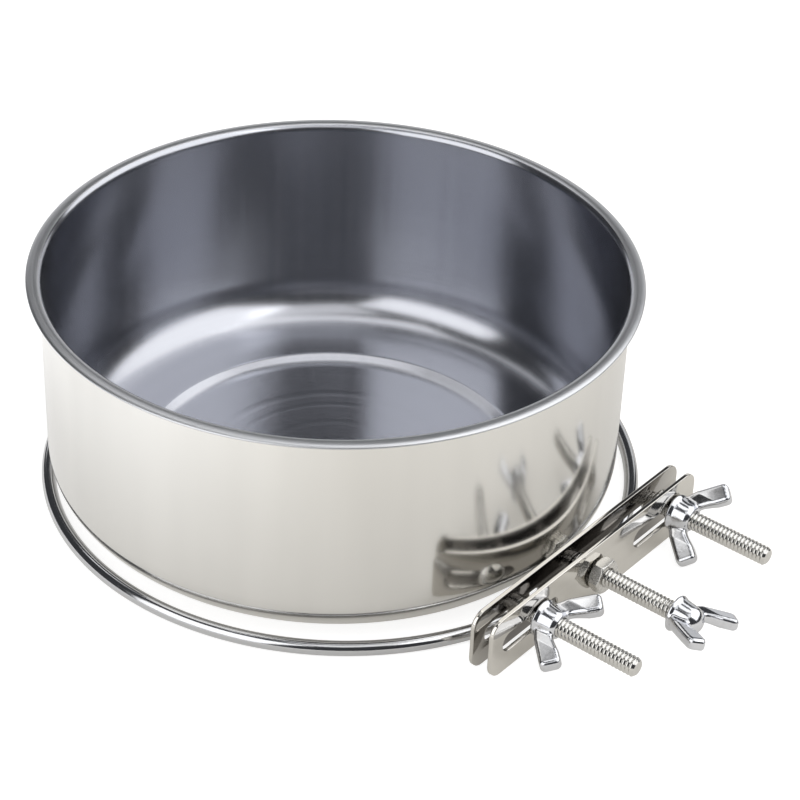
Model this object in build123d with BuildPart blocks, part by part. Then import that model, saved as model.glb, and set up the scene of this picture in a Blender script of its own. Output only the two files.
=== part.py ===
"""Seed cup that clamps to cage bars: a drawn steel cup standing in its wire ring holder.

The origin is on the cup's axis at table level, +X points out through the clamp and +Z is up.
The holder lies with its ring on the table and its clamp plates standing on their long edges.
"""
from build123d import *
import os
from math import cos, radians, sin, sqrt

# Cup
rim_diameter = 150.0
cup_height = 61.0
rim_overhang = 3.2
sheet = 0.8
foot_radius = 12.3
pad_diameter = 85.0
pad_band = 7.4
pad_drop = 0.7
pad_hollow_radius = 30.0
pad_edge_radius = 4.0
roll_turn = 280.0

# Holder: wire ring, and how far its centre lies from the cup's axis
wire_diameter = 3.6
ring_slack = 0.8
ring_bend_radius = 14.0
weld_flat = 0.25
holder_x = 0.7
holder_y = 2.5

# Clamp plates
plate_length = 82.0
plate_height = 16.0
plate_thickness = 1.1
plate_corner = 4.0
bar_gap = 4.2
slot_width = 5.2
slot_inner = 15.4
slot_outer = 36.6
screw_hole = 5.6

# Bolts and screw, 3/16 inch with 24 threads to the inch, and their nuts
thread_diameter = 4.76
thread_clearance = 0.05
tip_chamfer = 0.6
bolt_length = 34.0
bolt_head_diameter = 8.4
bolt_head_height = 2.2
bolt_head_clearance = 0.05
left_bolt_reach = 22.3
right_bolt_reach = 32.4
hex_across_flats = 7.94
hex_chamfer = 0.5
weld_nut_height = 2.0
jam_nut_height = 3.0
weld_nut_clearance = 0.9
screw_tip_clearance = 0.3
nut_clearance = 0.2
jam_nut_clearance = 0.4

# Wings, as seen from the side of their screw: distance out from its axis and height above the hub's foot
hub_foot_diameter = 9.4
hub_foot = 0.9
hub_diameter = 8.4
hub_top_diameter = 7.2
hub_height = 5.8
hub_chamfer = 0.8
cap_height = 7.6
cap_socket = 5.0
wing_span = 23.0
wing_height = 11.6
wing_tip_fall = 3.0
wing_tip_setback = 3.1
wing_root_low = 0.9
wing_root_high = 5.3
wing_root_reach = 2.8
wing_thickness = 2.6
wing_corner = 0.9
wing_edge = 0.5
left_wing_angle = 20.0
right_wing_angle = 37.0
lock_wing_angle = -12.0
lock_wing_standoff = 22.6

# Places that follow from the sizes above
rim_radius = rim_diameter / 2
wall_radius = rim_radius - rim_overhang
wire_radius = wire_diameter / 2
ring_radius = wall_radius + ring_slack + wire_radius
back_inner = wall_radius + weld_nut_clearance + weld_nut_height
front_inner = back_inner + plate_thickness + bar_gap
front_outer = front_inner + plate_thickness
axis_height = plate_height / 2
thread_radius = thread_diameter / 2
nut_bore = thread_radius + thread_clearance
left_bolt_y = holder_y - left_bolt_reach
right_bolt_y = holder_y + right_bolt_reach
wing_nut_foot = front_outer + nut_clearance
lock_wing_foot = front_outer + lock_wing_standoff


def screw_axis(y):
    """Line of a bolt or screw at this place along the plates."""
    return Axis((0, y, axis_height), (1, 0, 0))


def clamp_plate(inner_face):
    """Slotted plate with a long slot on each side of the lock screw's hole."""
    slot_middle = (slot_inner + slot_outer) / 2
    with BuildPart() as plate:
        with BuildSketch(Plane.YZ.offset(inner_face)):
            with Locations((holder_y, axis_height)):
                RectangleRounded(plate_length, plate_height, plate_corner)
                Circle(screw_hole / 2, mode=Mode.SUBTRACT)
            with Locations((holder_y - slot_middle, axis_height), (holder_y + slot_middle, axis_height)):
                SlotOverall(slot_outer - slot_inner, slot_width, mode=Mode.SUBTRACT)
        extrude(amount=plate_thickness)
    return plate


def carriage_bolt(y):
    """Domed bolt with a square neck that slides in the back plate's slot."""
    head_face = back_inner - bolt_head_clearance
    head_radius = bolt_head_diameter / 2
    tip = back_inner + bolt_length
    with BuildPart() as bolt:
        with BuildSketch(Plane.XZ.offset(-y)):
            with BuildLine():
                crown = (head_face - bolt_head_height, axis_height)
                brim = (head_face, axis_height + head_radius)
                bulge = (bolt_head_height**2 + head_radius**2) / (2 * bolt_head_height)
                RadiusArc(crown, brim, bulge)
                Polyline(
                    brim,
                    (head_face, axis_height + thread_radius),
                    (tip - tip_chamfer, axis_height + thread_radius),
                    (tip, axis_height + thread_radius - tip_chamfer),
                    (tip, axis_height),
                    crown,
                )
            make_face()
        revolve(axis=screw_axis(y))
        with BuildSketch(Plane.YZ.offset(head_face)):
            with Locations((y, axis_height)):
                Rectangle(thread_diameter, thread_diameter)
        extrude(amount=plate_thickness)
    return bolt


def wing_plane(foot, y, angle):
    """Plane of a pair of wings: local x runs out from the screw, local y along it."""
    turn = radians(angle)
    return Plane(origin=(foot, y, axis_height), x_dir=(0, cos(turn), sin(turn)), z_dir=(0, sin(turn), -cos(turn)))


def winged_hub(foot, y, angle, capped):
    """Hub with two forged wings that sweep up and out: a wing nut, or a head closed by a domed cap."""
    plane = wing_plane(foot, y, angle)
    base_radius = hub_foot_diameter / 2
    hub_radius = hub_diameter / 2
    top_radius = hub_top_diameter / 2
    shoulder = (top_radius, hub_height - hub_chamfer)
    top = cap_height if capped else hub_height
    with BuildPart() as hub:
        with BuildSketch(plane) as blades:
            with BuildLine():
                Polyline(
                    (wing_root_reach, wing_root_low),
                    (hub_radius, wing_root_low),
                    (wing_span / 2, wing_height - wing_tip_fall),
                    (wing_span / 2 - wing_tip_setback, wing_height),
                    (wing_root_reach, wing_root_high),
                    close=True,
                )
            make_face()
            fillet(blades.vertices().sort_by(Axis.X)[-2:], wing_corner)
            mirror(about=Plane.YZ)
        extrude(amount=wing_thickness / 2, both=True)
        fillet(hub.faces().filter_by(Axis(plane.origin, plane.z_dir)).edges(), wing_edge)
        with BuildSketch(plane):
            with BuildLine():
                Polyline((0, top), (0, 0), (base_radius, 0), (base_radius, hub_foot), (hub_radius, hub_foot), shoulder)
                if capped:
                    TangentArc((0, top), shoulder, tangent=(1, 0))
                else:
                    Polyline(shoulder, (top_radius - hub_chamfer, top), (0, top))
            make_face()
        revolve(axis=screw_axis(y))
        with BuildSketch(Plane.YZ.offset(foot)):
            with Locations((y, axis_height)):
                Circle(nut_bore)
        extrude(amount=cap_socket + thread_clearance if capped else hub_height, mode=Mode.SUBTRACT)
    return hub


def hex_nut(foot, y, height):
    """Hexagon nut with its flats up and down and its corners rounded off by a turned cone."""
    flat = hex_across_flats / 2
    corner = hex_across_flats / sqrt(3)
    with BuildPart() as nut:
        with BuildSketch(Plane.YZ.offset(foot)):
            with Locations((y, axis_height)):
                RegularPolygon(flat, 6, major_radius=False)
                Circle(nut_bore, mode=Mode.SUBTRACT)
        extrude(amount=height)
        with BuildSketch(Plane.XZ.offset(-y)):
            with BuildLine():
                Polyline(
                    (foot, axis_height),
                    (foot, axis_height + flat),
                    (foot + hex_chamfer, axis_height + corner),
                    (foot + height - hex_chamfer, axis_height + corner),
                    (foot + height, axis_height + flat),
                    (foot + height, axis_height),
                    close=True,
                )
            make_face()
        revolve(axis=screw_axis(y), mode=Mode.INTERSECT)
    return nut


# Cup: one sheet from the pad that it stands on, round the foot and up the wall into the rolled rim
inner_radius = wall_radius - sheet
roll_radius = (rim_radius - inner_radius) / 2
roll_start = cup_height - roll_radius
with BuildPart() as cup:
    with BuildSketch(Plane.XZ):
        with BuildLine():
            outside = FilletPolyline(
                (0, 0),
                (pad_diameter / 2, 0),
                (pad_diameter / 2 + pad_band, pad_drop),
                (wall_radius, pad_drop),
                (wall_radius, roll_start),
                radius=[pad_hollow_radius, pad_edge_radius, foot_radius],
            )
            roll_inside = JernArc(outside @ 1, outside % 1, roll_radius - sheet, -roll_turn)
            inside = FilletPolyline(
                (0, sheet),
                (pad_diameter / 2, sheet),
                (pad_diameter / 2 + pad_band, pad_drop + sheet),
                (inner_radius, pad_drop + sheet),
                (inner_radius, roll_start),
                radius=[pad_hollow_radius, pad_edge_radius, foot_radius - sheet],
            )
            roll_outside = JernArc(inside @ 1, inside % 1, roll_radius, -roll_turn)
            Line(roll_inside @ 1, roll_outside @ 1)
            Line(outside @ 0, inside @ 0)
        make_face()
    revolve(axis=Axis.Z)

# Ring: wire bent round the cup, straight where it is welded along the back plate
straight_x = back_inner - wire_radius + weld_flat
straight_half = sqrt(ring_radius**2 - (straight_x - holder_x) ** 2)
with BuildPart() as holder_ring:
    with BuildLine(Plane.XY.offset(wire_radius)) as bent_wire:
        upper = (straight_x, holder_y + straight_half)
        lower = (straight_x, holder_y - straight_half)
        ThreePointArc(upper, (holder_x - ring_radius, holder_y), lower)
        Line(lower, upper)
        fillet(bent_wire.vertices(), ring_bend_radius)
    with BuildSketch(Plane(origin=bent_wire.wire() @ 0, z_dir=bent_wire.wire() % 0)):
        Circle(wire_radius)
    sweep(path=bent_wire.wire())
    split(bisect_by=Plane.YZ.offset(back_inner), keep=Keep.BOTTOM)

# Lock screw: plain rod from just off the cup's wall into the socket of its wing head
screw_tip = wall_radius + screw_tip_clearance
screw_end = lock_wing_foot + cap_socket
with BuildPart() as lock_screw:
    with BuildSketch(Plane.YZ.offset(screw_tip)):
        with Locations((holder_y, axis_height)):
            Circle(thread_radius)
    extrude(amount=screw_end - screw_tip)
    chamfer(lock_screw.edges().sort_by(Axis.X)[0], tip_chamfer)

pieces = {
    "cup": cup,
    "holder_ring": holder_ring,
    "back_plate": clamp_plate(back_inner),
    "weld_nut": hex_nut(back_inner - weld_nut_height, holder_y, weld_nut_height),
    "front_plate": clamp_plate(front_inner),
    "left_bolt": carriage_bolt(left_bolt_y),
    "right_bolt": carriage_bolt(right_bolt_y),
    "left_wing_nut": winged_hub(wing_nut_foot, left_bolt_y, left_wing_angle, False),
    "right_wing_nut": winged_hub(wing_nut_foot, right_bolt_y, right_wing_angle, False),
    "lock_screw": lock_screw,
    "lock_screw_wing": winged_hub(lock_wing_foot, holder_y, lock_wing_angle, True),
    "jam_nut": hex_nut(front_outer + jam_nut_clearance, holder_y, jam_nut_height),
}

os.makedirs("parts", exist_ok=True)
for name, piece in pieces.items():
    piece.part.label = name
    export_step(piece.part, f"parts/{name}.step")
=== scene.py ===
"""Looks of a clamp-on seed cup: a polished cup with a spun inside, bright wire, threads and forged wings."""
import math

import bmesh
import bpy
from mathutils import Matrix, Vector


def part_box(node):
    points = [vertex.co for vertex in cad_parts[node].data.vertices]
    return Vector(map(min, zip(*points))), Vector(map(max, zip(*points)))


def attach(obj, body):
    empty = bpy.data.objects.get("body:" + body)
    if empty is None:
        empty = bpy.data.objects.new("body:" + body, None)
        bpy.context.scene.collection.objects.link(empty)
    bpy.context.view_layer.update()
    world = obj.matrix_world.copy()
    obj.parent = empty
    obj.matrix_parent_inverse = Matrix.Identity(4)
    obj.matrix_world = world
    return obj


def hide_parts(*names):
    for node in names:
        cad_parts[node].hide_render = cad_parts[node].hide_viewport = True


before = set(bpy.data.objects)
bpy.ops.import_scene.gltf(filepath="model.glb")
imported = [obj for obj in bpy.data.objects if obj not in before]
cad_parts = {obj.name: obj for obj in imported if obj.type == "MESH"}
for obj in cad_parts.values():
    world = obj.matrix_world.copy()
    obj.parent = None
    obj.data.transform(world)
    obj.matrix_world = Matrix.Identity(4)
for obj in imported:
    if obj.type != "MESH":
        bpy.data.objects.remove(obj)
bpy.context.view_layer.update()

bl_info = {
    "name": "Clamp-on seed cup",
    "version": (1, 0, 0),
    "blender": (4, 5, 0),
    "location": "3D View > Sidebar > Seed cup",
    "description": "Dresses the solids of a clamp-on seed cup in polished, spun and plated steel",
    "category": "Object",
}

MM = 0.001
CUP_LOW, CUP_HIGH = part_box("cup")
RING_LOW, RING_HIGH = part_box("holder_ring")
BACK_LOW, BACK_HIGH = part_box("back_plate")
FRONT_LOW, FRONT_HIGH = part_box("front_plate")

# Fineness of the meshes: steps along an arc, sides round an axis, and the angle in degrees that stays sharp
CUP_SIDES = 288
CUP_FILLET_STEPS = 14
RIM_STEPS = 36
RIM_INNER_STEPS = 6
SHOULDER_STEPS = 12
CUP_SHARP = 40.0
RING_STEPS = 240
RING_BEND_STEPS = 10
WIRE_SIDES = 28
WIRE_SHARP = 60.0
PLATE_CORNER_STEPS = 12
SLOT_END_STEPS = 20
HOLE_STEPS = 36
PLATE_SHARP = 30.0
THREAD_ROWS = 14
THREAD_SIDES = 49
HEAD_SIDES = 48
HEAD_STEPS = 16
BOLT_SHARP = 35.0
ALL_SMOOTH = 180.0

# Distances in metres below which points are joined: in new meshes, in wound threads and in the solids' copies
MESH_JOIN = 1e-7
THREAD_JOIN = 1e-6
SOLID_JOIN = 1e-6

# Thread groove: how steep its flanks are, and how much of a turn's height its flat crest takes
GROOVE_SLOPE = 1.6
GROOVE_CREST = 0.45

# Reach in metres at which the ridges on the pad begin and are whole
PAD_RIDGES = (0.046, 0.036)

# Rolled rim, in degrees round the middle of the roll: end of its curl, top, and start of the spun inside
CURL_END = -100.0
RIM_TOP = 90.0
SPUN_START = 120.0

# Skins of nuts and wings: how far outside the bore the softening begins and is whole, and passes of softening
BORE_KEPT = 0.3 * MM
BORE_LEFT = 0.9 * MM
SKIN_PASSES = 10
NUT_PASSES = 3

# Camera, fitted to the photograph: where it stands, its right and backward ways, and its lens in millimetres
CAMERA_PLACE = (0.32995, -0.39102, 0.37660)
CAMERA_RIGHT = (0.7699, 0.6374, 0.0333)
CAMERA_BACK = (0.5094, -0.6450, 0.5698)
CAMERA_LENS = 111.27
CAMERA_SENSOR = 36.0

# Lamps: azimuth and elevation in degrees, distance, width and height in metres, and watts
LAMP_TARGET = (0.0, 0.0, 0.03)
LAMPS = (
    ("right_softbox", 40.0, 45.0, 1.0, 1.6, 1.0, 9.0),
    ("left_softbox", -97.0, 30.0, 1.0, 0.93, 1.06, 5.6),
    ("top_softbox", -30.0, 66.0, 1.0, 0.6, 0.5, 1.05),
    ("zenith_softbox", 128.0, 84.0, 1.0, 0.7, 0.35, 1.25),
    ("back_softbox", 163.0, 56.0, 1.0, 0.45, 0.4, 0.62),
    ("backdrop", 128.0, 14.0, 1.2, 1.8, 0.5, 2.2),
)
SKY_COLOUR = (0.9, 0.93, 1.0, 1.0)
SKY_STRENGTH = 0.06

# Floor: half its side, how far it lies below the cup, and its tint in mirrored rays
FLOOR_HALF = 30.0
FLOOR_DROP = 0.00006
FLOOR_WARM = (1.0, 0.965, 0.9)
FLOOR_PLAIN = (1.0, 1.0, 1.0)

# Where the floor's light changes, in metres: clear of the cup, where its painted shadow ends, far from it,
# and along the view's left, where painted light brightens it
FLOOR_SHADOW_FADE = (0.07, 0.16)
FLOOR_FAR = (0.4, 1.2)
FLOOR_LIT_LEFT = (-0.02, 0.12)
LEFT_WAY = (-0.77, -0.64)


def length(name, description, default):
    """A size in metres that a user may change."""
    return bpy.props.FloatProperty(
        name=name, description=description, default=default, unit="LENGTH", precision=5
    )


def colour(name, description, default):
    """A colour that a user may change."""
    return bpy.props.FloatVectorProperty(
        name=name, description=description, default=default, size=3, min=0.0, max=1.0, subtype="COLOR"
    )


def amount(name, description, default):
    """A plain share from nothing to all."""
    return bpy.props.FloatProperty(
        name=name, description=description, default=default, min=0.0, max=1.0, subtype="FACTOR"
    )


def count(name, description, default):
    """A whole number that a user may change."""
    return bpy.props.IntProperty(name=name, description=description, default=default, min=0)


class SeedCupSizes(bpy.types.PropertyGroup):
    """Sizes of the drawn cup and of its holder."""

    rim_radius: length("Rim radius", "Outside of the rolled rim", (CUP_HIGH.x - CUP_LOW.x) / 2)
    cup_height: length("Cup height", "From the table to the top of the rim", CUP_HIGH.z)
    rim_overhang: length("Rim overhang", "How far the rim stands out from the wall", 3.2 * MM)
    rim_press: amount("Rim press", "Height of the rolled rim as a share of its width", 0.34)
    sheet: length("Sheet", "Thickness of the drawn sheet", 0.8 * MM)
    foot_radius: length("Foot radius", "Outside radius between wall and floor", 12.3 * MM)
    pad_radius: length("Pad radius", "Flat middle of the floor", 46.6 * MM)
    pad_band: length("Pad band", "Width of the step round the pad", 3.3 * MM)
    pad_drop: length("Pad drop", "How far the pad lies below the floor round it", 1.6 * MM)
    pad_hollow: length("Pad hollow", "Radius at the foot of the step", 7 * MM)
    pad_edge: length("Pad edge", "Radius at the top of the step", 2.2 * MM)
    ring_bend: length("Ring bend", "Radius where the wire turns into its straight run", 14 * MM)
    weld_flat: length("Weld flat", "Depth of the wire's flat against the plate", 0.25 * MM)
    plate_corner: length("Plate corner", "Corner radius of the clamp plates", 4 * MM)
    plate_edge: length("Plate edge", "Rounding of the clamp plates' edges", 0.22 * MM)
    slot_width: length("Slot width", "Width of the slots in the clamp plates", 5.2 * MM)
    slot_inner: length("Slot inner end", "From the lock screw to the near end of a slot", 15.4 * MM)
    slot_outer: length("Slot outer end", "From the lock screw to the far end of a slot", 36.6 * MM)
    screw_hole: length("Screw hole", "Diameter of the hole for the lock screw", 5.6 * MM)
    thread_radius: length("Thread radius", "Outside radius of the threads", 2.38 * MM)
    thread_depth: length("Thread depth", "From crest to root of the threads", 0.34 * MM)
    thread_pitch: length("Thread pitch", "From one crest to the next", 25.4 / 24 * MM)
    tip_chamfer: length("Tip chamfer", "Chamfer of the threaded ends", 0.6 * MM)
    head_radius: length("Head radius", "Radius of the domed bolt heads", 4.2 * MM)
    head_height: length("Head height", "Height of the domed bolt heads", 2.2 * MM)
    head_clearance: length("Head clearance", "Between a bolt head and the plate", 0.05 * MM)
    forged_grain: length("Forged grain", "Face size of the wings' skin", 0.16 * MM)
    forged_hub: length("Forged hub", "Reach from a screw's axis of the roundest skin", 4.2 * MM)
    forged_reach: length("Forged reach", "Reach from a screw's axis where the skin keeps its edges", 6.4 * MM)
    forged_swell: length("Forged swell", "How far the wings' faces stand out over their solids", 0.45 * MM)
    nut_wing_reach: length("Nut wing reach", "From a bolt's axis to the tips of its nut's wings", 11.2 * MM)
    lock_wing_reach: length("Lock wing reach", "From the lock screw's axis to its wings' tips", 9.2 * MM)
    lock_wing_rise: amount("Lock wing rise", "How much further its wings rise than a wing nut's", 0.19)
    forged_passes: count("Forged passes", "Passes of softening round the hubs", 90)
    turned_grain: length("Turned grain", "Face size of the hexagon nuts' skin", 0.1 * MM)


class SeedCupFinishes(bpy.types.PropertyGroup):
    """Colours and polish of the steel."""

    polished: colour("Polished outside", "Outside of the cup", (0.73, 0.72, 0.695))
    spun: colour("Spun inside", "Inside of the cup", (0.5, 0.51, 0.55))
    rim: colour("Rolled rim", "Rim of the cup", (0.6, 0.61, 0.63))
    wire: colour("Ring wire", "Wire of the holder's ring", (0.6, 0.605, 0.62))
    plate: colour("Clamp plates", "Polished plates of the clamp", (0.66, 0.64, 0.6))
    # The plate gap colour is painted shade for the unlit gap between the plates, and its lighter ends are
    # painted light.
    gap: colour("Plate gap", "Painted shade on the plates' faces in the gap for the bars", (0.26, 0.25, 0.24))
    gap_edge: length("Gap edge", "How far the gap's painted shade reaches round the plates' edges", 0.25 * MM)
    gap_lit_ends: length("Gap lit ends", "How far painted light brightens the plates' ends inside the gap", 14 * MM)
    thread: colour("Threads", "Bolts, screw and hexagon nuts", (0.66, 0.65, 0.625))
    forged: colour("Forged wings", "Wing nuts and wing head", (0.68, 0.69, 0.72))
    ground: colour("Ground", "Pale floor under the cup", (0.45, 0.447, 0.44))
    outside_roughness: amount("Outside roughness", "Blur of the polished outside", 0.13)
    inside_roughness: amount("Inside roughness", "Blur of the spun inside", 0.22)


class Value:
    """A socket whose arithmetic adds Math nodes to its tree."""

    def __init__(self, graph, socket):
        self.graph = graph
        self.socket = socket

    def math(self, operation, *others):
        return self.graph.math(operation, self, *others)

    def __add__(self, other):
        return self.graph.math("ADD", self, other)

    __radd__ = __add__

    def __sub__(self, other):
        return self.graph.math("SUBTRACT", self, other)

    def __rsub__(self, other):
        return self.graph.math("SUBTRACT", other, self)

    def __mul__(self, other):
        return self.graph.math("MULTIPLY", self, other)

    __rmul__ = __mul__

    def __truediv__(self, other):
        return self.graph.math("DIVIDE", self, other)


class Graph:
    """Adds nodes to a shader or geometry tree."""

    def __init__(self, tree):
        self.tree = tree

    def add(self, kind, settings=None, inputs=None):
        """A node of this kind: settings first, then the values or links of its sockets."""
        node = self.tree.nodes.new(kind)
        for name, setting in (settings or {}).items():
            setattr(node, name, setting)
        for key, value in (inputs or {}).items():
            if isinstance(value, Value):
                self.tree.links.new(value.socket, node.inputs[key])
            else:
                node.inputs[key].default_value = value
        return node

    def value(self, kind, settings=None, inputs=None, output=0):
        """One output of such a node."""
        return Value(self, self.add(kind, settings, inputs).outputs[output])

    def math(self, operation, *values):
        return self.value("ShaderNodeMath", {"operation": operation}, dict(enumerate(values)))

    def blend(self, share, first, second):
        """A colour between two colours."""
        return self.value(
            "ShaderNodeMix", {"data_type": "RGBA"}, {0: share, 6: (*first, 1.0), 7: (*second, 1.0)}, output=2
        )

    def share(self, value, start, end):
        """How far a value has come from start to end, from 0 to 1."""
        return ((value - start) / (end - start)).math("MAXIMUM", 0.0).math("MINIMUM", 1.0)

    def place(self):
        """The surface point's x, y and z in the object's own frame."""
        point = self.value("ShaderNodeTexCoord", output="Object")
        split = self.add("ShaderNodeSeparateXYZ", inputs={0: point})
        return [Value(self, socket) for socket in split.outputs]

    def reach(self, x, y):
        """Distance from the upright axis."""
        return (x * x + y * y).math("SQRT")

    def noise(self, x, y, z, scale, detail=3.0):
        """Cloudy value of a point, each axis scaled on its own beforehand."""
        point = self.value("ShaderNodeCombineXYZ", inputs={0: x, 1: y, 2: z})
        return self.value("ShaderNodeTexNoise", inputs={"Vector": point, "Scale": scale, "Detail": detail})

    def lines(self, along, scale, detail=4.0):
        """Cloudy value along one measure, which draws lines across it."""
        return self.value(
            "ShaderNodeTexNoise", {"noise_dimensions": "1D"}, {"W": along, "Scale": scale, "Detail": detail}
        )


def shaded(colour_value, lower):
    """The same colour made darker by a share."""
    return tuple(part * (1.0 - lower) for part in colour_value)


def finished_metal(name, make, constants=None):
    """A metal whose colour, roughness, relief and relief's depth come from make(graph)."""
    material = bpy.data.materials.new(name)
    material.use_nodes = True
    material.node_tree.nodes.clear()
    graph = Graph(material.node_tree)
    tint, roughness, relief, relief_depth = make(graph)
    bump = graph.value("ShaderNodeBump", inputs={"Height": relief, "Distance": relief_depth, "Strength": 1.0})
    sockets = {"Base Color": tint, "Roughness": roughness, "Normal": bump, "Metallic": 1.0}
    sockets.update(constants or {})
    shader = graph.value("ShaderNodeBsdfPrincipled", inputs=sockets)
    graph.add("ShaderNodeOutputMaterial", inputs={"Surface": shader})
    return material


def polished_outside(finishes):
    """Buffed drawn steel: faint upright drawing marks and fine hairlines."""

    def make(graph):
        x, y, z = graph.place()
        streaks = graph.noise(x, y, z * 0.06, scale=700.0)
        hairs = graph.noise(x * 0.3, y * 0.3, z * 4.0, scale=900.0)
        cloud = graph.noise(x, y, z, scale=35.0)
        drawing = graph.noise(x, y, z * 0.05, scale=110.0)
        tint = graph.blend(cloud * 0.3 + drawing * 0.7, shaded(finishes.polished, 0.14), finishes.polished)
        roughness = finishes.outside_roughness + 0.06 * (hairs - 0.5) + 0.05 * (cloud - 0.5)
        relief_depth = 0.0000012
        return tint, roughness, streaks * 0.5 + hairs * 0.5, relief_depth

    return finished_metal("polished_outside", make)


def spun_inside(finishes):
    """Satin steel with the circles of the spinning cloth, which stretch every light across them."""

    def make(graph):
        x, y, z = graph.place()
        reach = graph.reach(x, y)
        travel = reach + z
        circles = graph.lines(travel, scale=2600.0)
        bands = graph.lines(travel, scale=260.0)
        on_pad = graph.share(reach, *PAD_RIDGES)
        ridges = graph.share(graph.lines(reach, scale=230.0, detail=0.0), 0.56, 0.75) * on_pad
        streaks = graph.noise(x / reach, y / reach, 0.0, scale=26.0)
        share = circles * 0.5 + bands * 0.3 + streaks * 0.2
        tint = graph.blend(share, shaded(finishes.spun, 0.14), finishes.spun)
        roughness = finishes.inside_roughness + 0.08 * (circles - 0.5) + 0.06 * (streaks - 0.5)
        relief_depth = 0.000003
        return tint, roughness, circles * 0.12 + bands * 0.3 + ridges * 22.0, relief_depth

    return finished_metal("spun_inside", make, {"Anisotropic": 0.75, "Anisotropic Rotation": 0.25})


def rolled_rim(finishes):
    """Buffed rim with fine circles along the roll."""

    def make(graph):
        x, y, z = graph.place()
        reach = graph.reach(x, y)
        circles = graph.lines(reach - z, scale=2200.0)
        nicks = graph.noise(x, y, z, scale=240.0)
        tint = graph.blend(circles, shaded(finishes.rim, 0.1), finishes.rim)
        roughness = 0.35 + 0.1 * (circles - 0.5) + 0.08 * (nicks - 0.5)
        relief_depth = 0.000006
        return tint, roughness, circles * 0.7 + nicks * 0.3, relief_depth

    return finished_metal("rolled_rim", make)


def drawn_wire(finishes):
    """Bright wire with drawing lines that run along it."""

    def make(graph):
        x, y, z = graph.place()
        reach = graph.reach(x, y)
        lines = graph.noise(reach * 3.0, z * 3.0, 0.0, scale=900.0)
        cloud = graph.noise(x, y, z, scale=60.0)
        tint = graph.blend(lines, shaded(finishes.wire, 0.12), finishes.wire)
        roughness = 0.13 + 0.08 * (lines - 0.5) + 0.06 * (cloud - 0.5)
        relief_depth = 0.000006
        return tint, roughness, lines, relief_depth

    return finished_metal("drawn_wire", make)


def polished_plate(finishes):
    """Mirror-polished strip with hairlines along its length, with painted shade on its faces in the gap for
    the bars that painted light brightens towards the plates' ends.
    """

    def make(graph):
        x, y, z = graph.place()
        hairs = graph.noise(x, y * 0.08, z, scale=2600.0)
        smears = graph.noise(x, y, z, scale=90.0)
        gap_middle = (BACK_HIGH.x + FRONT_LOW.x) / 2
        gap_half = (FRONT_LOW.x - BACK_HIGH.x) / 2
        # Painted shade: the faces that look into the gap for the bars take the dark gap colour.
        from_gap = (x - gap_middle).math("ABSOLUTE") - gap_half
        face = graph.share(from_gap, 0.0, finishes.gap_edge)
        middle = (BACK_LOW.y + BACK_HIGH.y) / 2
        end = (BACK_HIGH.y - BACK_LOW.y) / 2
        # Painted light: the gap's faces grow lighter towards the plates' ends, where light reaches in.
        lit_ends = graph.share((y - middle).math("ABSOLUTE"), end - finishes.gap_lit_ends, end)
        unshaded = face.math("MAXIMUM", lit_ends * 0.7)
        tint = graph.blend(unshaded * (0.9 + 0.1 * smears), finishes.gap, finishes.plate)
        roughness = 0.09 + 0.06 * (hairs - 0.5) + 0.08 * (smears - 0.5)
        relief_depth = 0.000005
        return tint, roughness, hairs * 0.4 + smears * 0.6, relief_depth

    return finished_metal("polished_plate", make)


def bright_thread(finishes):
    """Plated thread with fine turning marks and a cloudy skin."""

    def make(graph):
        x, y, z = graph.place()
        marks = graph.noise(x * 6.0, y, z, scale=900.0)
        cloud = graph.noise(x, y, z, scale=160.0)
        tint = graph.blend(marks * 0.6 + cloud * 0.4, shaded(finishes.thread, 0.22), finishes.thread)
        roughness = 0.16 + 0.1 * (marks - 0.5) + 0.06 * (cloud - 0.5)
        relief_depth = 0.000006
        return tint, roughness, marks, relief_depth

    return finished_metal("bright_thread", make)


def bright_nut(finishes):
    """Plated hexagon nut with brushed flats."""

    def make(graph):
        x, y, z = graph.place()
        brushing = graph.noise(x * 0.2, y, z, scale=1800.0)
        cloud = graph.noise(x, y, z, scale=200.0)
        tint = graph.blend(cloud, shaded(finishes.thread, 0.12), finishes.thread)
        roughness = 0.27 + 0.1 * (brushing - 0.5) + 0.06 * (cloud - 0.5)
        relief_depth = 0.000008
        return tint, roughness, brushing, relief_depth

    return finished_metal("bright_nut", make)


def forged_wings(finishes):
    """Plated forging: soft waves in the skin and small pits."""

    def make(graph):
        x, y, z = graph.place()
        waves = graph.noise(x, y, z, scale=260.0, detail=2.0)
        pits = graph.noise(x, y, z, scale=1500.0)
        tint = graph.blend(pits, shaded(finishes.forged, 0.16), finishes.forged)
        roughness = 0.15 + 0.1 * (pits - 0.5) + 0.06 * (waves - 0.5)
        relief_depth = 0.00003
        return tint, roughness, waves * 0.8 + pits * 0.2, relief_depth

    return finished_metal("forged_wings", make)


def arc_points(centre, radius, start, end, steps, press=1.0):
    """Points on an arc between two angles in degrees, both ends included; press flattens it in height."""
    points = []
    for step in range(steps + 1):
        angle = math.radians(start + (end - start) * step / steps)
        points.append((centre[0] + radius * math.cos(angle), centre[1] + radius * press * math.sin(angle)))
    return points


def rounded_path(points, radii, steps):
    """A polyline in the plane with each inner corner turned into an arc of its radius."""
    path = [points[0]]
    for index, radius in enumerate(radii):
        corner = Vector(points[index + 1])
        before = (Vector(points[index]) - corner).normalized()
        after = (Vector(points[index + 2]) - corner).normalized()
        half = before.angle(after) / 2
        centre = corner + (before + after).normalized() * (radius / math.sin(half))
        start = corner + before * (radius / math.tan(half)) - centre
        turn = math.pi - 2 * half
        if before.x * after.y - before.y * after.x > 0:
            turn = -turn
        for step in range(steps + 1):
            spun = Matrix.Rotation(turn * step / steps, 2) @ start
            path.append(tuple(centre + spun))
    path.append(points[-1])
    return path


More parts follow.
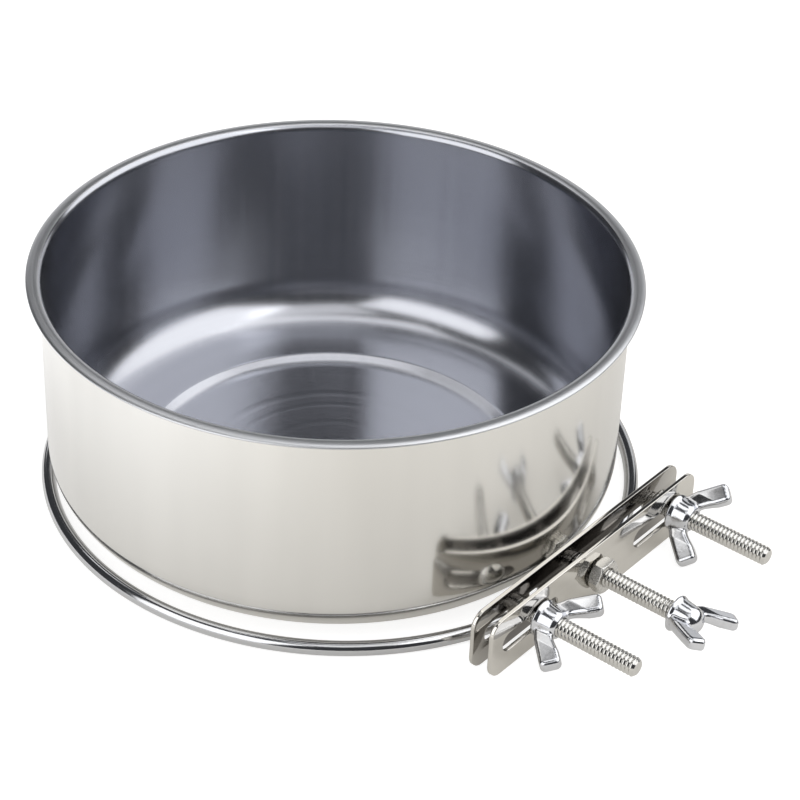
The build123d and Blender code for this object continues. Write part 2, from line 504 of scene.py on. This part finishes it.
def in_scene(name, data):
    """A new object of this mesh, curve, lamp or camera in the scene."""
    form = bpy.data.objects.new(name, data)
    bpy.context.scene.collection.objects.link(form)
    return form


def new_piece(name, mesh, materials, body, node):
    """Puts a mesh in the scene as the visible form of a solid."""
    piece = in_scene(name, mesh)
    for material in materials:
        mesh.materials.append(material)
    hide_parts(node)
    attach(piece, body)
    return piece


def lathe(mesh_builder, profile, to_space, segments, material_of=lambda step: 0):
    """Turns a profile of (reach, height) about its axis; a point on the axis becomes a single pole."""
    rings = []
    for reach, height in profile:
        if reach < 1e-9:
            rings.append([mesh_builder.verts.new(to_space(0.0, 0.0, height))])
            continue
        ring = []
        for step in range(segments):
            angle = 2 * math.pi * step / segments
            point = to_space(reach * math.cos(angle), reach * math.sin(angle), height)
            ring.append(mesh_builder.verts.new(point))
        rings.append(ring)
    for step, (first, second) in enumerate(zip(rings, rings[1:])):
        for index in range(segments):
            after = (index + 1) % segments
            corners = [first[index % len(first)], first[after % len(first)]]
            corners += [second[after % len(second)], second[index % len(second)]]
            unique = list(dict.fromkeys(corners))
            if len(unique) > 2:
                face = mesh_builder.faces.new(unique)
                face.material_index = material_of(step)


def finish_mesh(mesh_builder, name, sharp_angle):
    """A mesh with outward faces, smooth below an angle in degrees."""
    bmesh.ops.remove_doubles(mesh_builder, verts=mesh_builder.verts, dist=MESH_JOIN)
    bmesh.ops.recalc_face_normals(mesh_builder, faces=mesh_builder.faces)
    mesh = bpy.data.meshes.new(name)
    mesh_builder.to_mesh(mesh)
    mesh_builder.free()
    for polygon in mesh.polygons:
        polygon.use_smooth = True
    mesh.set_sharp_from_angle(angle=math.radians(sharp_angle))
    return mesh


class SEEDCUP_OT_cup(bpy.types.Operator):
    """Turn the drawn cup with its pad, foot, wall and rolled rim"""

    bl_idname = "seedcup.cup"
    bl_label = "Drawn cup"

    def execute(self, context):
        sizes = context.scene.seedcup_sizes
        finishes = context.scene.seedcup_finishes
        wall = sizes.rim_radius - sizes.rim_overhang
        inner = wall - sizes.sheet
        roll = (sizes.rim_radius - inner) / 2
        lip = roll * sizes.rim_press
        roll_centre = (inner + roll, sizes.cup_height - lip)

        def side(rise, reach, foot, top):
            """One face of the sheet, from the middle of the pad up the wall."""
            points = [
                (0.0, rise),
                (sizes.pad_radius, rise),
                (sizes.pad_radius + sizes.pad_band, rise + sizes.pad_drop),
                (reach, rise + sizes.pad_drop),
                (reach, top),
            ]
            return rounded_path(points, [sizes.pad_hollow, sizes.pad_edge, foot], CUP_FILLET_STEPS)

        outside = side(0.0, wall, sizes.foot_radius, roll_centre[1] - lip)
        rim = arc_points(roll_centre, roll, CURL_END, RIM_TOP, RIM_STEPS, sizes.rim_press)
        shoulder = sizes.cup_height - roll
        rim += arc_points((inner + roll, shoulder), roll, RIM_TOP, SPUN_START, RIM_INNER_STEPS)[1:]
        inside = arc_points((inner + roll, shoulder), roll, SPUN_START, 180.0, SHOULDER_STEPS)[1:]
        inside += side(sizes.sheet, inner, sizes.foot_radius - sizes.sheet, shoulder)[::-1][1:]
        outside_end = len(outside) - 1
        rim_end = outside_end + len(rim)

        def region(step):
            """Place in the cup's materials: outside, rim or inside."""
            if step < outside_end:
                return 0
            return 1 if step < rim_end else 2

        builder = bmesh.new()
        lathe(builder, outside + rim + inside, lambda x, y, z: (x, y, z), CUP_SIDES, region)
        mesh = finish_mesh(builder, "cup", CUP_SHARP)
        materials = [polished_outside(finishes), rolled_rim(finishes), spun_inside(finishes)]
        new_piece("drawn_cup", mesh, materials, "cup", "cup")
        return {"FINISHED"}


class SEEDCUP_OT_ring(bpy.types.Operator):
    """Bend the wire ring with its straight run along the back plate"""

    bl_idname = "seedcup.ring"
    bl_label = "Wire ring"

    def execute(self, context):
        sizes = context.scene.seedcup_sizes
        finishes = context.scene.seedcup_finishes
        wire = (RING_HIGH.z - RING_LOW.z) / 2
        radius = (RING_HIGH.y - RING_LOW.y) / 2 - wire
        centre = Vector((RING_LOW.x + wire + radius, (RING_LOW.y + RING_HIGH.y) / 2))
        straight = BACK_LOW.x - wire + sizes.weld_flat - centre.x
        bend_reach = straight - sizes.ring_bend
        bend_side = math.sqrt((radius - sizes.ring_bend) ** 2 - bend_reach**2)
        bend_angle = math.degrees(math.atan2(bend_side, bend_reach))
        bend = sizes.ring_bend
        path = arc_points((0.0, 0.0), radius, bend_angle, 360.0 - bend_angle, RING_STEPS)
        path += arc_points((bend_reach, -bend_side), bend, -bend_angle, 0.0, RING_BEND_STEPS)[1:]
        path += arc_points((bend_reach, bend_side), bend, 0.0, bend_angle, RING_BEND_STEPS)[:-1]
        builder = bmesh.new()
        rings = []
        for index, point in enumerate(path):
            along = Vector(path[(index + 1) % len(path)]) - Vector(path[index - 1])
            out = Vector((along.y, -along.x)).normalized()
            ring = []
            for step in range(WIRE_SIDES):
                angle = 2 * math.pi * step / WIRE_SIDES
                flat = centre + Vector(point) + out * wire * math.cos(angle)
                height = wire * (1 + math.sin(angle))
                ring.append(builder.verts.new((min(flat.x, BACK_LOW.x), flat.y, height)))
            rings.append(ring)
        for index, ring in enumerate(rings):
            before = rings[index - 1]
            for step in range(WIRE_SIDES):
                after = (step + 1) % WIRE_SIDES
                builder.faces.new((before[step], before[after], ring[after], ring[step]))
        mesh = finish_mesh(builder, "ring", WIRE_SHARP)
        new_piece("wire_ring", mesh, [drawn_wire(finishes)], "holder", "holder_ring")
        return {"FINISHED"}


def plate_outline(sizes, low, high):
    """The plate's rim, its slots and its hole as closed loops of points in the plate's own plane."""
    middle = Vector(((low.y + high.y) / 2, (low.z + high.z) / 2))
    half_length = (high.y - low.y) / 2
    half_height = (high.z - low.z) / 2
    corner = sizes.plate_corner
    rim = []
    for quarter, (across, up) in enumerate(((1, 1), (-1, 1), (-1, -1), (1, -1))):
        centre = (middle.x + across * (half_length - corner), middle.y + up * (half_height - corner))
        rim += arc_points(centre, corner, 90.0 * quarter, 90.0 * quarter + 90.0, PLATE_CORNER_STEPS)
    loops = [rim]
    end = sizes.slot_width / 2
    for side in (-1, 1):
        near = middle.x + side * (sizes.slot_inner + end)
        far = middle.x + side * (sizes.slot_outer - end)
        slot = arc_points((max(near, far), middle.y), end, -90.0, 90.0, SLOT_END_STEPS)
        slot += arc_points((min(near, far), middle.y), end, 90.0, 270.0, SLOT_END_STEPS)
        loops.append(slot)
    last = 360.0 - 360.0 / HOLE_STEPS
    loops.append(arc_points(middle, sizes.screw_hole / 2, 0.0, last, HOLE_STEPS - 1))
    return loops


def pressed_plate(name, sizes, low, high):
    """A plate cut from strip with its edges slightly rounded."""
    edge = sizes.plate_edge
    curve = bpy.data.curves.new(name, "CURVE")
    curve.dimensions = "2D"
    curve.fill_mode = "BOTH"
    curve.bevel_depth = edge
    curve.bevel_resolution = 3
    curve.offset = -edge
    curve.extrude = (high.x - low.x) / 2 - edge
    for loop in plate_outline(sizes, low, high):
        spline = curve.splines.new("POLY")
        spline.points.add(len(loop) - 1)
        for point, (u, v) in zip(spline.points, loop):
            point.co = (u, v, 0.0, 1.0)
        spline.use_cyclic_u = True
    form = in_scene(name, curve)
    graph = bpy.context.evaluated_depsgraph_get()
    mesh = bpy.data.meshes.new_from_object(form.evaluated_get(graph))
    bpy.data.objects.remove(form)
    bpy.data.curves.remove(curve)
    stand_up = Matrix(((0, 0, 1, (low.x + high.x) / 2), (1, 0, 0, 0), (0, 1, 0, 0), (0, 0, 0, 1)))
    mesh.transform(stand_up)
    builder = bmesh.new()
    builder.from_mesh(mesh)
    bpy.data.meshes.remove(mesh)
    return finish_mesh(builder, name, PLATE_SHARP)


class SEEDCUP_OT_plates(bpy.types.Operator):
    """Cut the slotted clamp plates"""

    bl_idname = "seedcup.plates"
    bl_label = "Clamp plates"

    def execute(self, context):
        sizes = context.scene.seedcup_sizes
        steel = polished_plate(context.scene.seedcup_finishes)
        back = pressed_plate("back", sizes, BACK_LOW, BACK_HIGH)
        new_piece("pressed_back_plate", back, [steel], "holder", "back_plate")
        front = pressed_plate("front", sizes, FRONT_LOW, FRONT_HIGH)
        new_piece("pressed_front_plate", front, [steel], "front_plate", "front_plate")
        return {"FINISHED"}


def baked(form):
    """The mesh of an object with its modifiers, in place of the object."""
    graph = bpy.context.evaluated_depsgraph_get()
    mesh = bpy.data.meshes.new_from_object(form.evaluated_get(graph))
    before = form.data
    bpy.data.objects.remove(form)
    bpy.data.meshes.remove(before)
    return mesh


def thread_tree(material):
    """Nodes that wind a thread round the X axis from a flat grid."""
    tree = bpy.data.node_groups.new("wound_thread", "GeometryNodeTree")
    tree.interface.new_socket("Geometry", in_out="OUTPUT", socket_type="NodeSocketGeometry")
    for name, kind in (
        ("Start", "NodeSocketFloat"),
        ("Length", "NodeSocketFloat"),
        ("Radius", "NodeSocketFloat"),
        ("Depth", "NodeSocketFloat"),
        ("Pitch", "NodeSocketFloat"),
        ("Chamfer", "NodeSocketFloat"),
        ("Rows", "NodeSocketInt"),
        ("Sides", "NodeSocketInt"),
    ):
        tree.interface.new_socket(name, in_out="INPUT", socket_type=kind)
    graph = Graph(tree)
    group = graph.add("NodeGroupInput")
    given = {socket.name: Value(graph, socket) for socket in group.outputs if socket.name}
    grid = graph.value(
        "GeometryNodeMeshGrid",
        inputs={0: given["Length"], 1: 2 * math.pi, 2: given["Rows"], 3: given["Sides"]},
    )
    position = graph.value("GeometryNodeInputPosition")
    split = graph.add("ShaderNodeSeparateXYZ", inputs={0: position})
    along = Value(graph, split.outputs[0]) + given["Length"] * 0.5
    angle = Value(graph, split.outputs[1])
    turn = (along / given["Pitch"] - angle / (2 * math.pi)).math("FRACT")
    crest = 1.0 - (turn * 2.0 - 1.0).math("ABSOLUTE")
    groove = (crest * GROOVE_SLOPE - GROOVE_CREST).math("MAXIMUM", 0.0).math("MINIMUM", 1.0)
    reach = given["Radius"] - given["Depth"] * groove
    to_end = given["Length"] - along
    taper = given["Radius"] - given["Chamfer"] + to_end
    reach = reach.math("MINIMUM", taper)
    placed = graph.value(
        "ShaderNodeCombineXYZ",
        inputs={0: along + given["Start"], 1: reach * angle.math("COSINE"), 2: reach * angle.math("SINE")},
    )
    moved = graph.value("GeometryNodeSetPosition", inputs={"Geometry": grid, "Position": placed})
    closed = graph.value("GeometryNodeMergeByDistance", inputs={"Geometry": moved, "Distance": THREAD_JOIN})
    real = graph.value("GeometryNodeRealizeInstances", inputs={0: closed})
    painted = graph.value("GeometryNodeSetMaterial", inputs={"Geometry": real, "Material": material})
    graph.add("NodeGroupOutput", inputs={0: painted})
    return tree


def wound_thread(builder, tree, axis, start, end, sizes):
    """Adds a threaded shank round an axis parallel to X, closed at both ends."""
    form = in_scene("thread", bpy.data.meshes.new("thread"))
    modifier = form.modifiers.new("thread", "NODES")
    modifier.node_group = tree
    given = {
        "Start": start,
        "Length": end - start,
        "Radius": sizes.thread_radius,
        "Depth": sizes.thread_depth,
        "Pitch": sizes.thread_pitch,
        "Chamfer": sizes.tip_chamfer,
        "Rows": int((end - start) / sizes.thread_pitch * THREAD_ROWS) + 1,
        "Sides": THREAD_SIDES,
    }
    for item in tree.interface.items_tree:
        if item.in_out == "INPUT":
            modifier[item.identifier] = given[item.name]
    wound = baked(form)
    wound.transform(Matrix.Translation((0.0, axis.y, axis.z)))
    shank = bmesh.new()
    shank.from_mesh(wound)
    bmesh.ops.holes_fill(shank, edges=[edge for edge in shank.edges if edge.is_boundary], sides=0)
    shank.to_mesh(wound)
    shank.free()
    builder.from_mesh(wound)
    bpy.data.meshes.remove(wound)


class SEEDCUP_OT_bolts(bpy.types.Operator):
    """Make the carriage bolts and the lock screw with their wound threads"""

    bl_idname = "seedcup.bolts"
    bl_label = "Bolts and lock screw"

    def execute(self, context):
        sizes = context.scene.seedcup_sizes
        steel = bright_thread(context.scene.seedcup_finishes)
        tree = thread_tree(steel)
        for node in ("left_bolt", "right_bolt"):
            low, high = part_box(node)
            axis = (low + high) / 2
            face = BACK_LOW.x - sizes.head_clearance
            builder = bmesh.new()
            wound_thread(builder, tree, axis, BACK_HIGH.x - sizes.head_clearance, high.x, sizes)
            bulge = (sizes.head_height**2 + sizes.head_radius**2) / (2 * sizes.head_height)
            rise = math.degrees(math.asin(sizes.head_radius / bulge))
            dome = arc_points((0.0, -bulge), bulge, 90.0, 90.0 - rise, HEAD_STEPS)
            dome = [(reach, face - sizes.head_height - height) for reach, height in dome]
            dome += [(sizes.thread_radius, face)]
            lathe(builder, dome, lambda x, y, z: (z, axis.y + x, axis.z + y), HEAD_SIDES)
            neck_width = 2 * sizes.thread_radius
            neck = bmesh.ops.create_cube(builder, size=1.0)["verts"]
            bmesh.ops.scale(builder, vec=(BACK_HIGH.x - BACK_LOW.x, neck_width, neck_width), verts=neck)
            middle = (BACK_LOW.x + BACK_HIGH.x) / 2 - sizes.head_clearance
            bmesh.ops.translate(builder, vec=(middle, axis.y, axis.z), verts=neck)
            mesh = finish_mesh(builder, node, BOLT_SHARP)
            new_piece(f"threaded_{node}", mesh, [steel], node, node)
        low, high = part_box("lock_screw")
        builder = bmesh.new()
        wound_thread(builder, tree, (low + high) / 2, low.x, high.x, sizes)
        mesh = finish_mesh(builder, "lock_screw", BOLT_SHARP)
        new_piece("threaded_lock_screw", mesh, [steel], "lock_screw", "lock_screw")
        return {"FINISHED"}


def merged_copy(node):
    """A solid's mesh with its loose triangles joined."""
    builder = bmesh.new()
    builder.from_mesh(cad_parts[node].data)
    bmesh.ops.remove_doubles(builder, verts=builder.verts, dist=SOLID_JOIN)
    return builder


def even_skin(node, grain):
    """A solid's mesh drawn over with a skin of even, small faces."""
    form = in_scene(node, finish_mesh(merged_copy(node), node, ALL_SMOOTH))
    skin = form.modifiers.new("skin", "REMESH")
    skin.mode = "VOXEL"
    skin.voxel_size = grain
    return baked(form)


def soften(form, passes, group=""):
    """Rounds edges and inner corners off, everywhere or by the weights of a vertex group."""
    modifier = form.modifiers.new("soften", "SMOOTH")
    modifier.factor = 0.5
    modifier.iterations = passes
    modifier.vertex_group = group


def smooth_skin(form, name):
    """The finished mesh of a softened skin, without any sharp edge."""
    builder = bmesh.new()
    mesh = baked(form)
    builder.from_mesh(mesh)
    bpy.data.meshes.remove(mesh)
    return finish_mesh(builder, name, ALL_SMOOTH)


def ramp(value, start, end):
    """How far a value has come from start to end, from 0 to 1."""
    return min(max((value - start) / (end - start), 0.0), 1.0)


def forged_skin(node, sizes, tip, rise):
    """A winged solid's skin, swollen and softened like a forging: most round the hub, least in the bore."""
    low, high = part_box(node)
    axis = (low + high) / 2
    form = in_scene(node, even_skin(node, sizes.forged_grain))
    hub = form.vertex_groups.new(name="hub")
    vertices = form.data.vertices
    reaches = [math.hypot(vertex.co.y - axis.y, vertex.co.z - axis.z) for vertex in vertices]
    solid_tip = max(reaches)
    normals = [vertex.normal.copy() for vertex in vertices]
    for vertex, reach, normal in zip(vertices, reaches, normals):
        outside_bore = ramp(reach, sizes.thread_radius + BORE_KEPT, sizes.thread_radius + BORE_LEFT)
        inside_wings = ramp(reach, sizes.forged_reach, sizes.forged_hub)
        hub.add([vertex.index], outside_bore * inside_wings, "REPLACE")
        out = ramp(reach, sizes.forged_hub, solid_tip)
        shrink = (sizes.forged_hub + (tip - sizes.forged_hub) * out) / reach if out > 0.0 else 1.0
        vertex.co.x += (vertex.co.x - low.x) * rise * out
        vertex.co.y = axis.y + (vertex.co.y - axis.y) * shrink
        vertex.co.z = axis.z + (vertex.co.z - axis.z) * shrink
        vertex.co += normal * sizes.forged_swell * ramp(reach, sizes.forged_hub, sizes.forged_reach)
    soften(form, SKIN_PASSES)
    soften(form, sizes.forged_passes, "hub")
    return smooth_skin(form, node)


def turned_skin(node, grain):
    """A hexagon nut's skin with its edges just broken."""
    form = in_scene(node, even_skin(node, grain))
    soften(form, NUT_PASSES)
    return smooth_skin(form, node)


class SEEDCUP_OT_nuts(bpy.types.Operator):
    """Finish the wing nuts, the wing head and the hexagon nuts"""

    bl_idname = "seedcup.nuts"
    bl_label = "Nuts and wings"

    def execute(self, context):
        sizes = context.scene.seedcup_sizes
        finishes = context.scene.seedcup_finishes
        forged = forged_wings(finishes)
        steel = bright_nut(finishes)
        for node, tip, rise in (
            ("left_wing_nut", sizes.nut_wing_reach, 0.0),
            ("right_wing_nut", sizes.nut_wing_reach, 0.0),
            ("lock_screw_wing", sizes.lock_wing_reach, sizes.lock_wing_rise),
        ):
            mesh = forged_skin(node, sizes, tip, rise)
            new_piece(f"forged_{node}", mesh, [forged], node, node)
        for node, body in (("jam_nut", "jam_nut"), ("weld_nut", "holder")):
            mesh = turned_skin(node, sizes.turned_grain)
            new_piece(f"turned_{node}", mesh, [steel], body, node)
        return {"FINISHED"}


class SEEDCUP_OT_stage(bpy.types.Operator):
    """Set the floor, the lamps and the camera"""

    bl_idname = "seedcup.stage"
    bl_label = "Stage"

    def execute(self, context):
        self.floor(context.scene.seedcup_finishes)
        self.surroundings(context)
        self.lamps()
        self.camera(context)
        return {"FINISHED"}

    def floor(self, finishes):
        """A wide pale ground that stays white round the cup and lights its polished outside, with painted
        shadow round the cup and painted light on its left in mirrored rays.
        """
        builder = bmesh.new()
        corners = []
        for across, along in ((-1, -1), (1, -1), (1, 1), (-1, 1)):
            corners.append(builder.verts.new((across * FLOOR_HALF, along * FLOOR_HALF, -FLOOR_DROP)))
        builder.faces.new(corners)
        mesh = bpy.data.meshes.new("floor")
        builder.to_mesh(mesh)
        builder.free()
        floor = in_scene("floor", mesh)
        material = bpy.data.materials.new("pale_ground")
        material.use_nodes = True
        material.node_tree.nodes.clear()
        graph = Graph(material.node_tree)
        path = graph.add("ShaderNodeLightPath")
        direct = Value(graph, path.outputs["Is Camera Ray"]).math(
            "MAXIMUM", Value(graph, path.outputs["Is Transmission Ray"])
        )
        mirrored = Value(graph, path.outputs["Is Glossy Ray"])
        x, y, _ = graph.place()
        reach = graph.reach(x, y)
        clear = graph.share(reach, *FLOOR_SHADOW_FADE)
        far = graph.share(reach, *FLOOR_FAR)
        left = graph.share(x * LEFT_WAY[0] + y * LEFT_WAY[1], *FLOOR_LIT_LEFT)
        tint = graph.blend(left.math("MAXIMUM", direct), FLOOR_WARM, FLOOR_PLAIN)
        matt = graph.value("ShaderNodeBsdfDiffuse", inputs={"Color": (*finishes.ground, 1.0)})
        seen = direct * (0.82 + 0.18 * far)
        # Painted shadow and light in mirrored rays: the floor glows less near the cup and clamp, where their
        # shadow would fall, and more along the view's left.
        reflected = mirrored * (0.31 + 0.28 * clear + 0.4 * left)
        lift = graph.value("ShaderNodeEmission", inputs={"Color": tint, "Strength": seen + reflected})
        both = graph.value("ShaderNodeAddShader", inputs={0: matt, 1: lift})
        graph.add("ShaderNodeOutputMaterial", inputs={"Surface": both})
        mesh.materials.append(material)

    def surroundings(self, context):
        """A faint even sky."""
        world = bpy.data.worlds.new("surroundings")
        context.scene.world = world
        world.use_nodes = True
        world.node_tree.nodes.clear()
        graph = Graph(world.node_tree)
        sky = graph.value("ShaderNodeBackground", inputs={"Color": SKY_COLOUR, "Strength": SKY_STRENGTH})
        graph.add("ShaderNodeOutputWorld", inputs={"Surface": sky})

    def lamps(self):
        """Softboxes round the cup, each facing it."""
        for name, azimuth, elevation, distance, width, height, power in LAMPS:
            light = bpy.data.lights.new(name, "AREA")
            light.shape = "RECTANGLE"
            light.size = width
            light.size_y = height
            light.energy = power
            lamp = in_scene(name, light)
            level = math.cos(math.radians(elevation))
            way = Vector((
                level * math.cos(math.radians(azimuth)),
                level * math.sin(math.radians(azimuth)),
                math.sin(math.radians(elevation)),
            ))
            lamp.location = Vector(LAMP_TARGET) + way * distance
            lamp.visible_camera = False
            lamp.rotation_euler = way.to_track_quat("Z", "Y").to_euler()

    def camera(self, context):
        """The photograph's own view."""
        right = Vector(CAMERA_RIGHT).normalized()
        back = Vector(CAMERA_BACK).normalized()
        up = back.cross(right).normalized()
        right = up.cross(back)
        lens = bpy.data.cameras.new("camera")
        lens.lens = CAMERA_LENS
        lens.sensor_width = CAMERA_SENSOR
        lens.clip_start = 0.01
        lens.clip_end = 20.0
        camera = in_scene("camera", lens)
        turn = Matrix((right, up, back)).transposed().to_4x4()
        camera.matrix_world = Matrix.Translation(CAMERA_PLACE) @ turn
        context.scene.camera = camera
        context.scene.view_settings.view_transform = "Standard"


class SEEDCUP_PT_panel(bpy.types.Panel):
    """Lists the steps that dress the seed cup"""

    bl_idname = "SEEDCUP_PT_panel"
    bl_label = "Seed cup"
    bl_space_type = "VIEW_3D"
    bl_region_type = "UI"
    bl_category = "Seed cup"

    def draw(self, context):
        for operator in OPERATORS:
            self.layout.operator(operator.bl_idname)
        for group in (context.scene.seedcup_sizes, context.scene.seedcup_finishes):
            column = self.layout.column()
            for name in group.bl_rna.properties.keys():
                if name not in ("rna_type", "name"):
                    column.prop(group, name)


OPERATORS = (
    SEEDCUP_OT_cup,
    SEEDCUP_OT_ring,
    SEEDCUP_OT_plates,
    SEEDCUP_OT_bolts,
    SEEDCUP_OT_nuts,
    SEEDCUP_OT_stage,
)
CLASSES = (SeedCupSizes, SeedCupFinishes, *OPERATORS, SEEDCUP_PT_panel)


def register():
    for cls in CLASSES:
        bpy.utils.register_class(cls)
    bpy.types.Scene.seedcup_sizes = bpy.props.PointerProperty(type=SeedCupSizes)
    bpy.types.Scene.seedcup_finishes = bpy.props.PointerProperty(type=SeedCupFinishes)


def unregister():
    del bpy.types.Scene.seedcup_finishes
    del bpy.types.Scene.seedcup_sizes
    for cls in reversed(CLASSES):
        bpy.utils.unregister_class(cls)


def main():
    register()
    bpy.ops.seedcup.cup()
    bpy.ops.seedcup.ring()
    bpy.ops.seedcup.plates()
    bpy.ops.seedcup.bolts()
    bpy.ops.seedcup.nuts()
    bpy.ops.seedcup.stage()


if __name__ == "__main__":
    main()
